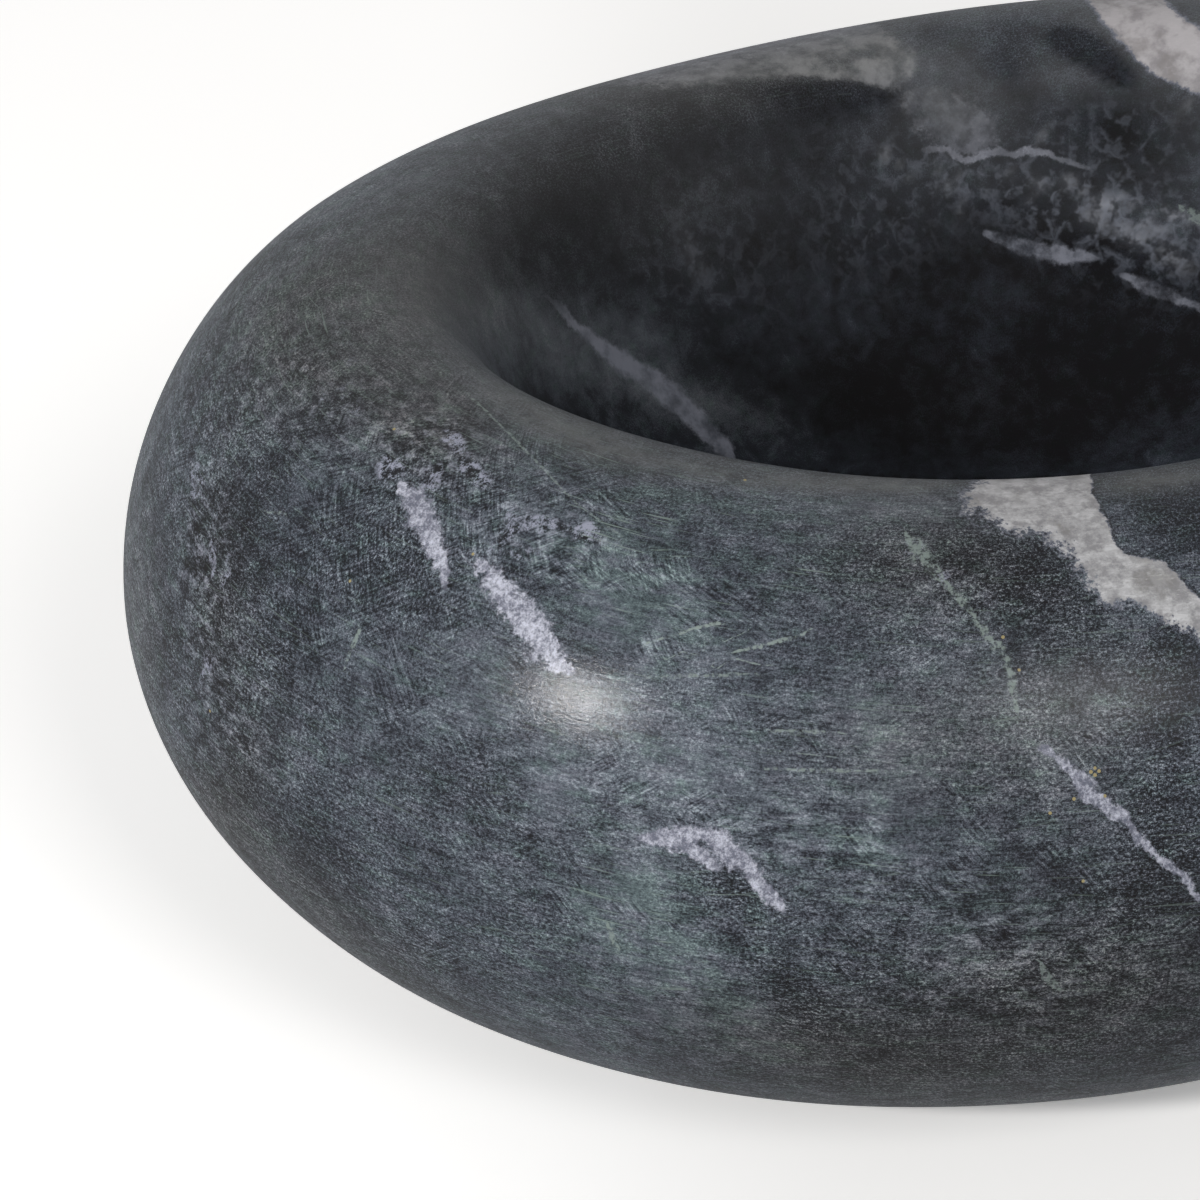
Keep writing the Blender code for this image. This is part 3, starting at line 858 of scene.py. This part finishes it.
def srgb(colour):
    """A colour given in the 0 to 255 values of a picture, as a node takes it."""
    parts = np.array(colour) / 255
    linear = np.where(parts <= 0.04045, parts / 12.92, ((parts + 0.055) / 1.055) ** 2.4)
    return (*linear.tolist(), 1.0)


def new_material(name, nodes=Nodes):
    material = bpy.data.materials.new(name)
    material.use_nodes = True
    return material, nodes(material.node_tree)


# The stone's material

# Noises in space: the size of the features in millimetres, then detail, roughness and distortion
NOISES = {
    "cloud": (15, 3, 0.6, 0.4),
    "small_cloud": (3.6, 2, 0.7, 0.4),
    "rough_cloud": (9, 3, 0.6),
    "drift": (4.0, 5, 0.68, 0.8),
    "pit": (1.3, 3, 0.75),
    "cell": (2.0, 2, 0.55),
    "uneven": (1.4, 1),
    "bend": (9, 2),
    "waver": (2.4, 3, 0.6),
    "fine_crumb": (0.45, 3, 0.7),
    "coarse_crumb": (1.6, 2),
    "crystal": (0.62, 3, 0.9),
    "cluster": (2.6, 2, 0.7),
    "vein_cloud": (2.2, 5, 0.7),
    "calm_cloud": (4.2, 4, 0.62),
    "stain": (6.5, 4, 0.6),
    "broken": (0.9, 2, 0.7),
}
# The same on the surface, along the honing: first its turn in degrees from the way round the bowl, and how
# densely the noise lies round the bowl and up its section
HONED_NOISES = {
    "round_grain": (0, (0.7, 1, 1), 0.36, 2, 1.0),
    "up_grain": (0, (1.0, 0.7, 1), 0.36, 2, 1.0),
    "stroke": (3, (0.03, 1, 1), 0.40, 2, 0.7),
    "slanted": (-10, (0.05, 1, 1), 0.45, 2, 0.7),
    "streak": (0, (0.08, 1, 1), 0.5, 2, 0.8),
    "mottle": (0, (0.5, 1, 1), 1.5, 3, 0.75),
    "hue": (0, (0.5, 1, 1), 2.6, 4, 0.75),
    "fibres": (0, (0.3, 1, 1), 0.7, 3, 0.8, 0.6),
}
# Bundles of slanted scratches: direction in degrees, size in millimetres, and the stored value that spreads
# them, with its middle and how strongly it does
HATCHES = ((50, 7, "upward", 0.35, 0.16), (-38, 8, "upward", 0.45, 0.16), (24, 8, "green", 0.6, 0.12))
HATCH_NOISE, HATCH_STRENGTH = (0.4, 2, 0.7, 0.0, (0.08, 1, 1)), 1.15
# The netting: the size of its cells, and the size and the reach in metres of the noise that bends them
NET_CELL_MM, NET_SHAKE_MM, NET_SHAKE = 3.4, 2, (0.002, 0.002, 0.002)

# The ground's mean tone, its colours from the darkest tone to the palest, and the colours of what lies on it
# and of the painted sheen
MEAN_TONE = 0.447
STONE_TONES = (
    (0.0, (14, 14, 17)), (0.28, (39, 43, 51)), (0.5, (77, 84, 94)), (0.7, (106, 114, 124)),
    (1.0, (165, 175, 185)),
)
GREEN_TINT, ROSE_TINT, BROWN_TINT = (241, 255, 243), (255, 249, 252), (255, 245, 232)
DULL_SPECK, PIT, PALE_CRYSTAL = (142, 145, 160), (24, 24, 28), (158, 162, 180)
# The first colour on the next line is the veil outside the hollow: a painted sheen
PAINTED_SHEEN, HOLLOW_VEIL, NETTING = (108, 110, 111), (154, 158, 168), (126, 132, 146)
# The second colour on the next line is a painted sheen along the crest
SCRATCH, PAINTED_RIM_SHEEN, THREAD, YELLOW_GRAIN = (134, 150, 144), (95, 95, 96), (144, 158, 154), (160, 148, 108)

# The colours of the veins, the strength from which they are smooth and no longer a crust of crystals, and the
# half widths in millimetres over which a vein or a thread fades out
WHITE_LOW, WHITE_HIGH, WHITE_STAIN = (150, 150, 153), (205, 206, 209), (122, 120, 116)
WHITE_RIM, WHITE_CREASE, WHITE_CALM = (142, 142, 144), (128, 124, 114), (255, 250, 251)
DULL_FIBRE, BRIGHT_FIBRE = (134, 134, 139), (212, 214, 219)
CRUST_LOW, CRUST_HIGH = (104, 107, 122), (204, 207, 222)
THIN_EDGE, DARK_BORDER = (140, 144, 160), (30, 27, 25)
RIM_VEIN_LOW, RIM_VEIN_HIGH = (122, 124, 125), (154, 155, 156)
HOLLOW_VEIN_LOW, HOLLOW_VEIN_HIGH = (114, 118, 130), (154, 158, 172)
STRONG_VEIN, VEIN_FADE, THREAD_FADE = (0.82, 0.95), (0.1, 0.7), (0.01, 0.1)

# The finish: the relief of the grain, and the wax as a thin film, with a low weight and less in the hollow
STONE_RELIEF, STONE_ROUGHNESS, STONE_SPECULAR = 0.000017, 0.6, 0.05
WAX_WEIGHT, WAX_IN_HOLLOW, WAX_IOR, WAX_ROUGHNESS = 0.053, 0.06, 2.5, 0.18


class StoneNodes(Nodes):
    """The nodes of the stone, with what the mesh stores and the noises and mixtures that its looks share."""

    def __init__(self, tree):
        super().__init__(tree)
        self.place = self.add("TexCoord", output="Object")
        self.pale, self.dark, self.green, self.net = self.stored("patches")
        self.upward, self.inner, self.rim, self.veil = self.stored("work")
        self.run, self.warm, _, _ = self.stored("section")
        self.honed = self.round_bowl()
        for name, settings in NOISES.items():
            setattr(self, name, self.noise(self.place, *settings))
        for name, (degrees, squeeze, *settings) in HONED_NOISES.items():
            setattr(self, name, self.noise(self.turned(degrees), *settings, squeeze=squeeze))
        self.grain = self.mix(self.upward, self.round_grain, self.up_grain)
        # Calm is what lies in the hollow or on the rim, where the stone is softer to the eye
        self.calm = self.most(self.inner, self.rim)
        self.outside = 1 - self.most(self.inner.ramp(0, 0.35), self.rim * 0.7)
        self.rough = self.net * self.outside
        self.soft_cloud = self.mix(self.calm, self.vein_cloud, self.calm_cloud)
        self.wander = (self.bend - 0.5) * 1.6 + (self.waver - 0.5) * 1.5
        self.crumble = (self.fine_crumb + self.coarse_crumb - 1) * 2.4 * (1 - self.calm * 0.7)

    def round_bowl(self):
        """Coordinates on the surface, in metres: along the oval and up the section."""
        x, y, _ = self.split("SeparateXYZ", self.place)
        turn = self.math("ARCTAN2", y * -1, x * -1)
        return self.add("CombineXYZ", {0: turn * MEAN_RADIUS, 1: self.run})

    def turned(self, degrees):
        if not degrees:
            return self.honed
        turn = {"Vector": self.honed, "Angle": float(np.radians(degrees))}
        return self.add("VectorRotate", turn, rotation_type="Z_AXIS")

    def hatching(self, degrees, size_mm, share):
        """Bundles of fine light and dark scratches in one direction, from -0.5 to 0.5, where a cloud and the
        share together are high."""
        marks = self.noise(self.turned(degrees), *HATCH_NOISE) - 0.5
        apart = self.vector("ADD", self.place, (degrees / 100, 0, 0))
        return marks * (self.noise(apart, size_mm, 2, 0.6) + share).ramp(0.5, 0.62)

    def vein_mask(self, name, wander, fade):
        """How far a vein layer covers the stone, its strength, and how near its crisp edge is. Veins fade out
        where they are narrow."""
        half, distance, softness, strength = self.stored(name)
        inside = half - self.math("ABSOLUTE", distance + wander)
        depth = self.math("DIVIDE", inside, half * softness * 0.9 + 0.15) + self.crumble + 0.5
        mask = self.math("POWER", depth.ramp(0.0, 1.0), softness.ramp(0.0, 1.0, 1.0, 2.0))
        border = inside.ramp(-0.5, -0.1) * inside.ramp(0.0, 0.3, 1, 0)
        crisp = softness.ramp(0.15, 0.3, 1, 0) * half.ramp(0.5, 1.0)
        return mask * half.ramp(*fade) * strength.ramp(0.0, 0.6), strength, border * crisp


def ground_tone(s):
    """How light the ground is: specks and streaks along the honing, over clouds of several sizes. In the
    hollow it is darker, as painted shade.
    """
    contrast = s.rough_cloud.ramp(0.3, 0.7, 1.7, 2.45)
    contrast *= 1 - s.rim * 0.4 - s.inner * 0.65 + s.dark * s.outside * 0.8
    tone = MEAN_TONE + (s.grain - 0.5) * contrast + (s.cloud - 0.5) * 0.5
    tone += (s.small_cloud - 0.5) * (s.rough * 0.7 + 0.42)
    tone += (s.streak - 0.5) * s.outside * 0.5
    tone += (s.mottle - 0.5) * s.outside * (0.65 - s.upward * 0.15 + s.rough * 1.7)
    # Painted shade: the ground is darker inside the hollow, and the dark patches are darker still there
    tone += (s.drift - 0.5) * s.inner * 0.55 - s.inner * 0.14
    tone -= s.dark * (s.inner * 0.06 + 0.26)
    for degrees, size_mm, name, middle, gain in HATCHES:
        share = (getattr(s, name) - middle) * gain
        tone += s.hatching(degrees, size_mm, share) * s.outside * HATCH_STRENGTH
    return tone


def ground_colour(s):
    body = s.colours(ground_tone(s), STONE_TONES)
    body = s.mix((s.hue + s.green * 0.16).ramp(0.5, 0.66), body, GREEN_TINT, "MULTIPLY")
    body = s.mix((s.hue + s.green * 0.1).ramp(0.5, 0.38), body, ROSE_TINT, "MULTIPLY")
    return s.mix(s.warm, body, BROWN_TINT, "MULTIPLY")


def add_crusts(s, body):
    """Dull specks on rough ground, and crusts of pits and pale crystals."""
    body = s.mix(s.rough * s.mottle.ramp(0.52, 0.66) * 0.55, body, DULL_SPECK)
    crusted = (s.pale + (s.small_cloud - 0.5) * 1.2).ramp(0.2, 0.6) * s.outside
    body = s.mix(crusted * s.pit.ramp(0.47, 0.40), body, PIT)
    return s.mix(crusted * (s.pit + (s.grain - 0.5) * 0.7).ramp(0.44, 0.62), body, PALE_CRYSTAL)


def add_veil_and_sheen(s, body):
    """The grey veil: outside the hollow a smooth painted sheen, near the lip and on the far rim; in the
    hollow broken and paler marks.
    """
    cover = s.mix(s.inner, s.small_cloud.ramp(0.3, 0.6, 0.5, 1), s.cell.ramp(0.36, 0.58, 0.2, 1.1))
    return s.mix(s.veil * cover, body, s.mix(s.inner, PAINTED_SHEEN, HOLLOW_VEIL))


def add_netting(s, body):
    """White netting between dark cells, in the hollow."""
    shake = s.vector("MULTIPLY", s.noise(s.place, NET_SHAKE_MM, output="Color"), NET_SHAKE)
    cells = {"Vector": s.vector("ADD", s.place, shake), "Scale": 1000 / NET_CELL_MM}
    edge = s.add("TexVoronoi", cells, "Distance", feature="DISTANCE_TO_EDGE")
    netting = s.most(edge.ramp(0.16, 0.0) * s.cell.ramp(0.4, 0.6), s.cell.ramp(0.5, 0.7) * 0.8)
    return s.mix(s.math("SQRT", s.net) * s.inner * netting * 0.6, body, NETTING)


def add_finish(s, body):
    """Fine light scratches on the outside, and a lighter grey along the rim, a painted sheen."""
    lines = s.most(s.stroke.ramp(0.62, 0.70), s.slanted.ramp(0.63, 0.70) * s.rough_cloud.ramp(0.48, 0.6))
    clear = (s.green + s.cloud * 0.4).ramp(0.1, 0.8, 0.25, 0.75)
    body = s.mix(lines * clear * s.outside, body, SCRATCH)
    # Painted sheen: a lighter grey along the band round the crest
    return s.mix(s.rim * (1 - s.dark) * 0.5, body, PAINTED_RIM_SHEEN)


def smooth_white(s):
    """The colour of strong veins: white with grey clouds, brown stains and creases, and fibres."""
    white = s.mix(s.soft_cloud.ramp(0.36, 0.6), WHITE_LOW, WHITE_HIGH)
    white = s.mix(s.stain.ramp(0.52, 0.66) * 0.55, white, WHITE_STAIN)
    white = s.mix(s.rim * 0.45, white, WHITE_RIM)
    white = s.mix(s.warm.ramp(0.8, 1.0) * s.vein_cloud.ramp(0.4, 0.6, 0.3, 0.9), white, WHITE_CREASE)
    sharp = 1 - s.calm * 0.8
    white = s.mix(s.fibres.ramp(0.62, 0.4) * 0.35 * sharp, white, DULL_FIBRE)
    white = s.mix(s.fibres.ramp(0.58, 0.7) * 0.4 * sharp, white, BRIGHT_FIBRE)
    return s.mix(s.calm, white, WHITE_CALM, "MULTIPLY")


def crusty_white(s, cover, strength):
    """The colour of weaker veins: a crust of bright and dull crystals, or soft grey where it is calm."""
    crust = s.crystal + strength * 0.35 + cover * 0.1 + (s.cluster - 0.5) * 0.5
    crusty = s.mix(crust.ramp(0.66, 1.06), CRUST_LOW, CRUST_HIGH)
    low = s.mix(s.inner, RIM_VEIN_LOW, HOLLOW_VEIN_LOW)
    high = s.mix(s.inner, RIM_VEIN_HIGH, HOLLOW_VEIN_HIGH)
    return s.mix(s.calm, crusty, s.mix(s.soft_cloud.ramp(0.36, 0.64), low, high))


def add_veins(s, body):
    smooth = smooth_white(s)
    for name in ("wide", "narrow"):
        cover, strength, border = s.vein_mask(name, s.wander, VEIN_FADE)
        cover *= (s.soft_cloud + strength * 0.9).ramp(0.55, 0.9)
        strong = strength.ramp(*STRONG_VEIN)
        white = s.mix(strong, crusty_white(s, cover, strength), smooth)
        white = s.mix(cover.ramp(0.9, 0.4) * strong, white, THIN_EDGE)
        body = s.mix(border * 0.5, body, DARK_BORDER)
        body = s.mix(cover, body, white)
    thread, _, _ = s.vein_mask("threads", s.wander * 0.25, THREAD_FADE)
    return s.mix(thread * s.broken.ramp(0.42, 0.56, 0.1, 0.9), body, THREAD)


def add_pyrite(s, body, photo):
    """Tiny yellow grains with a ragged edge."""
    nearest_grain = 1.0
    for point in photo.surface(PYRITE):
        away = s.vector("DISTANCE", s.place, tuple(point), output="Value")
        nearest_grain = s.math("MINIMUM", nearest_grain, away)
    ragged = (s.crumble + 3) * (PYRITE_MM / 3000)
    return s.mix(s.math("LESS_THAN", nearest_grain, ragged), body, YELLOW_GRAIN)


def stone_material(photo):
    material, s = new_material("honed_marble", StoneNodes)
    body = ground_colour(s)
    for add_marks in (add_crusts, add_veil_and_sheen, add_netting, add_finish, add_veins):
        body = add_marks(s, body)
    relief = s.bump(s.grain * 1.5 + s.stroke * 0.6 + s.uneven, STONE_RELIEF)
    shader = s.add("BsdfPrincipled", {
        "Base Color": add_pyrite(s, body, photo), "Normal": relief,
        "Roughness": STONE_ROUGHNESS, "Specular IOR Level": STONE_SPECULAR,
        "Coat Weight": s.inner.ramp(0.0, 0.6, 1.0, WAX_IN_HOLLOW) * WAX_WEIGHT,
        "Coat Roughness": WAX_ROUGHNESS, "Coat IOR": WAX_IOR, "Coat Normal": relief,
    })
    s.new("OutputMaterial", {"Surface": shader})
    return material


# The felt feet

FELT_DARK, FELT_LIGHT, FELT_DUST = (34, 34, 36), (78, 77, 79), (58, 56, 55)
FELT_FIBRE_MM, FELT_CROSSING_MM, FELT_TUFT_MM, FELT_RELIEF = 0.22, 0.2, 1.6, 0.00012


def felt_material():
    """Fibres that cross each other, with a little dust in tufts."""
    material, n = new_material("pressed_felt")
    place = n.add("TexCoord", output="Object")
    fibres = n.noise(place, FELT_FIBRE_MM, 4, 0.7, 3.0, (1, 0.3, 1))
    matted = n.most(fibres, n.noise(place, FELT_CROSSING_MM, 4, 0.7, 3.0, (0.3, 1, 1)))
    tuft = n.noise(place, FELT_TUFT_MM, 3, 0.6)
    colour = n.mix(matted.ramp(0.42, 0.7), FELT_DARK, FELT_LIGHT)
    shader = n.add("BsdfPrincipled", {
        "Base Color": n.mix(tuft.ramp(0.4, 0.65) * 0.35, colour, FELT_DUST),
        "Roughness": matted.ramp(0.3, 0.7, 0.86, 0.98), "Normal": n.bump(matted + tuft * 1.5, FELT_RELIEF),
        "Sheen Weight": 0.4, "Sheen Roughness": 0.5,
    })
    n.new("OutputMaterial", {"Surface": shader})
    return material


def build_foot(node):
    """A disc of pressed felt in the place of its solid: a little out of round, with soft, uneven edges."""
    low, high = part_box(node)
    centre, reach, thick = (low + high) / 2, (high.x - low.x) / 2, high.z - low.z
    rounding = thick * FOOT_ROUND_SHARE
    flat = [(share * (reach - rounding), 0.0) for share in np.linspace(0, 1, FOOT_RINGS)]
    turn = np.linspace(-np.pi / 2, np.pi / 2, FOOT_RINGS)
    edge = [(reach - rounding + rounding * np.cos(t), thick / 2 * (1 + np.sin(t))) for t in turn[1:-1]]
    section = flat + edge + [(across, thick) for across, _ in reversed(flat)]
    mesh = bmesh.new()
    rings = []
    for across, up in section:
        ring = []
        for side in range(FOOT_SIDES if across else 1):
            heading = 2 * np.pi * side / FOOT_SIDES
            spot = Vector((np.cos(heading), np.sin(heading), 0))
            beside = centre + spot * reach + Vector((0, 0, up * 3))
            wear = 0.5 + 0.5 * noise.noise(beside / FELT_WEAR_LENGTH)
            out = across * (1 - FELT_EDGE_WEAR * wear * (across / reach) ** 4)
            sink = FELT_FACE_WEAR * thick * wear * (1 if up < thick / 2 else -1)
            level = low.z + min(max(up + sink, 0), thick)
            ring.append(mesh.verts.new((centre.x + spot.x * out, centre.y + spot.y * out, level)))
        rings.append(ring)
    for lower, upper in zip(rings, rings[1:]):
        for side in range(FOOT_SIDES):
            low_pair = lower[side % len(lower)], lower[(side + 1) % len(lower)]
            high_pair = upper[(side + 1) % len(upper)], upper[side % len(upper)]
            mesh.faces.new(list(dict.fromkeys(low_pair + high_pair)))
    bmesh.ops.recalc_face_normals(mesh, faces=mesh.faces)
    data = bpy.data.meshes.new(node + "_felt")
    mesh.to_mesh(data)
    mesh.free()
    data.polygons.foreach_set("use_smooth", np.ones(len(data.polygons), bool))
    return data


# Light and floor

WHITE = (1, 1, 1, 1)
CLOTH_LOW, CLOTH_HIGH, CLOTH_CLOUD_MM = (184, 185, 187), (192, 193, 195), 90


def floor_material():
    """A white cloth. Seen directly it is lighter than what lights the stone, dimmer on one side near the bowl
    as a painted shadow, and fades to white far away.
    """
    material, n = new_material("white_cloth")
    place = n.add("TexCoord", output="Object")
    colour = n.mix(n.noise(place, CLOTH_CLOUD_MM), CLOTH_LOW, CLOTH_HIGH)
    cloth = n.add("BsdfDiffuse", {"Color": colour})
    aside = n.vector("DOT_PRODUCT", place, SHADOW_TOWARD, output="Value")
    reach = n.vector("LENGTH", place, output="Value")
    # Painted shadow: the floor seen directly is dimmer on one side near the bowl
    level = 1 - aside.ramp(*SHADOW_RAMP) * reach.ramp(*SHADOW_FADE, 1, 0) * SHADOW_SHARE
    bright = n.add("BsdfDiffuse", {"Color": level * FLOOR_GAIN})
    lift = n.add("Emission", {"Color": level, "Strength": FLOOR_LIFT})
    white = n.add("Emission", {"Color": WHITE, "Strength": 1.0})
    lit = n.add("AddShader", {0: bright, 1: lift})
    lit = n.add("MixShader", {0: reach.ramp(*FLOOR_FADE), 1: lit, 2: white})
    n.new("OutputMaterial", {"Surface": n.seen_directly(cloth, lit)})
    return material


def build_floor():
    cloth = bpy.data.meshes.new("floor")
    half = FLOOR_SIZE / 2
    corners = [(-half, -half, 0), (half, -half, 0), (half, half, 0), (-half, half, 0)]
    cloth.from_pydata(corners, [], [(0, 1, 2, 3)])
    cloth.materials.append(floor_material())
    floor = bpy.data.objects.new("floor", cloth)
    bpy.context.collection.objects.link(floor)


def build_world():
    """An even, pale room, white where it is seen directly and dimmer overhead."""
    world = bpy.data.worlds.new("studio")
    bpy.context.scene.world = world
    world.use_nodes = True
    n = Nodes(world.node_tree)
    _, _, height = n.split("SeparateXYZ", n.add("TexCoord", output="Generated"))
    strength = height.ramp(0.0, ZENITH_HEIGHT, HORIZON_STRENGTH, ZENITH_STRENGTH)
    room = n.add("Background", {"Color": WHITE, "Strength": strength})
    white = n.add("Background", {"Color": WHITE, "Strength": 1.0})
    n.new("OutputWorld", {"Surface": n.seen_directly(room, white)})


def area_light(name, direction, distance, size, power, colour):
    """A square lamp that faces the bowl's middle."""
    data = bpy.data.lights.new(name, "AREA")
    data.size, data.energy, data.color = size, power, colour
    lamp = bpy.data.objects.new(name, data)
    towards = Vector(direction).normalized()
    lamp.location = Vector((0, 0, RIM_HEIGHT / 2)) + towards * distance
    lamp.rotation_euler = towards.to_track_quat("Z", "Y").to_euler()
    bpy.context.collection.objects.link(lamp)


# Putting it together

def add_piece(name, mesh, material, node):
    mesh.materials.append(material)
    piece = bpy.data.objects.new(name, mesh)
    bpy.context.collection.objects.link(piece)
    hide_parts(node)
    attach(piece, "root")


def build():
    camera = make_camera()
    bpy.context.view_layer.update()
    stone, points, normals, run = build_stone()
    photo = Photo(camera, stone)
    for name, values in vein_layers(photo, points, normals).items():
        store(stone, name, values)
    store(stone, "patches", patch_values(photo, points))
    store(stone, "work", work_values(photo, points))
    store(stone, "section", section_values(photo, points, run))
    add_piece("honed_stone", stone, stone_material(photo), "marble_bowl")
    felt = felt_material()
    for number in range(1, 5):
        node = f"felt_foot_{number}"
        add_piece(f"felt_pad_{number}", build_foot(node), felt, node)
    build_floor()
    build_world()
    for name, settings in LAMPS.items():
        area_light(name, *settings)
    bpy.context.scene.view_settings.view_transform = "Standard"


build()
